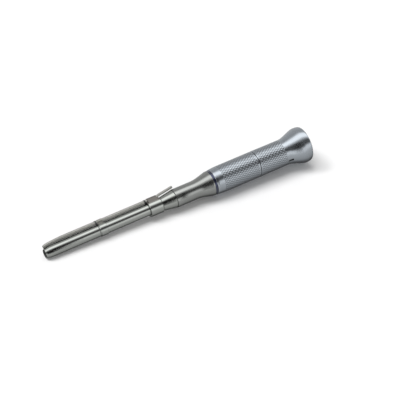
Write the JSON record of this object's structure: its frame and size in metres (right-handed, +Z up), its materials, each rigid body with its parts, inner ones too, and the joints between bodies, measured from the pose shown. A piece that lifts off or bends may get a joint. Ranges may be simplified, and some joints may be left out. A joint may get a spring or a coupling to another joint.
{
  "type": "straight surgical handpiece",
  "caption": "Slim straight rotary handpiece with a flared rear coupling, knurled twist chuck ring, long nose and a clip-on irrigation tube.",
  "frame": {"origin": "centre of the overall box, on the tool's axis", "axes": "+X along the tool's axis from the nose to the motor coupling, +Z up; the irrigation tube leans 42 degrees from +Z towards +Y"},
  "size_m": [0.166, 0.021, 0.021],
  "materials": {
    "polished_steel": "polished stainless steel with fine turning marks",
    "satin_steel": "satin stainless steel, diamond knurled grip zones",
    "dull_steel": "plain turned steel",
    "hardened_steel": "hardened and ground steel",
    "spring_steel": "spring steel, oiled",
    "bronze": "bearing bronze",
    "blue_anodised": "dark blue anodised ring",
    "black_rubber": "black elastomer seals and glide rings"
  },
  "bodies": {
    "housing": {"nose_sleeve_front": "polished_steel", "nose_sleeve_rear": "polished_steel", "nose_seam_ring": "black_rubber", "clip_friction_ring": "black_rubber", "bur_guide": "dull_steel", "nose_nut": "polished_steel", "front_housing": "polished_steel", "color_ring": "blue_anodised", "core_tube": "dull_steel", "glide_ring": "black_rubber", "rear_lock_nut": "dull_steel", "bearing_stop_ring": "spring_steel", "preload_washer": "spring_steel", "bearing_nut": "dull_steel", "rear_sleeve": "satin_steel", "coupling_socket": "dull_steel", "locating_key": "hardened_steel", "front_bearing_outer_race": "hardened_steel", "middle_bearing_outer_race": "hardened_steel", "rear_bearing_outer_race": "hardened_steel"},
    "chuck_ring": {"chuck_ring": "satin_steel", "cam_sleeve": "hardened_steel"},
    "release": {"release_sleeve": "dull_steel", "cam_pin_1": "hardened_steel", "cam_pin_2": "hardened_steel"},
    "spindle": {"spindle_nose": "dull_steel", "spindle": "dull_steel", "spindle_nut": "dull_steel", "drive_dog": "hardened_steel", "dog_pin": "hardened_steel", "collet_spring": "spring_steel", "front_bearing_inner_race": "hardened_steel", "middle_bearing_inner_race": "hardened_steel", "rear_bearing_inner_race": "hardened_steel"},
    "collet": {"collet": "hardened_steel", "draw_rod": "dull_steel", "thrust_ring": "hardened_steel", "release_pin": "hardened_steel"},
    "front_cage": {"front_bearing_cage": "bronze"},
    "middle_cage": {"middle_bearing_cage": "bronze"},
    "rear_cage": {"rear_bearing_cage": "bronze"},
    "irrigation_clip": {"clip_collar": "polished_steel", "clip_band": "polished_steel", "irrigation_tube": "polished_steel", "tube_ring_front": "black_rubber", "tube_ring_rear": "black_rubber"}
  },
  "joints": [
    {"name": "chuck_twist", "type": "hinge", "parent": "housing", "child": "chuck_ring", "pos_m": [0.02195, 0, 0], "axis": [1, 0, 0], "range_deg": [0, 40]},
    {"name": "release_slide", "type": "slide", "parent": "housing", "child": "release", "axis": [-1, 0, 0], "range_m": [0, 0.0012]},
    {"name": "spindle_spin", "type": "hinge", "parent": "housing", "child": "spindle", "pos_m": [0.004, 0, 0], "axis": [1, 0, 0], "continuous": true},
    {"name": "collet_slide", "type": "slide", "parent": "spindle", "child": "collet", "axis": [-1, 0, 0], "range_m": [0, 0.0012], "deforming": ["collet_spring"]},
    {"name": "front_cage_spin", "type": "hinge", "parent": "housing", "child": "front_cage", "pos_m": [-0.0778, 0, 0], "axis": [1, 0, 0], "continuous": true},
    {"name": "middle_cage_spin", "type": "hinge", "parent": "housing", "child": "middle_cage", "pos_m": [0.0055, 0, 0], "axis": [1, 0, 0], "continuous": true},
    {"name": "rear_cage_spin", "type": "hinge", "parent": "housing", "child": "rear_cage", "pos_m": [0.04625, 0, 0], "axis": [1, 0, 0], "continuous": true},
    {"name": "clip_swivel", "type": "hinge", "parent": "housing", "child": "irrigation_clip", "pos_m": [-0.0154, 0, 0], "axis": [1, 0, 0], "range_deg": [-180, 180]}
  ],
  "couplings": [
    {"joint": "release_slide", "follows": "chuck_twist", "m_per_rad": 0.0017189},
    {"joint": "collet_slide", "follows": "chuck_twist", "m_per_rad": 0.0017189},
    {"joint": "front_cage_spin", "follows": "spindle_spin", "ratio": 0.44},
    {"joint": "middle_cage_spin", "follows": "spindle_spin", "ratio": 0.43},
    {"joint": "rear_cage_spin", "follows": "spindle_spin", "ratio": 0.42}
  ]
}
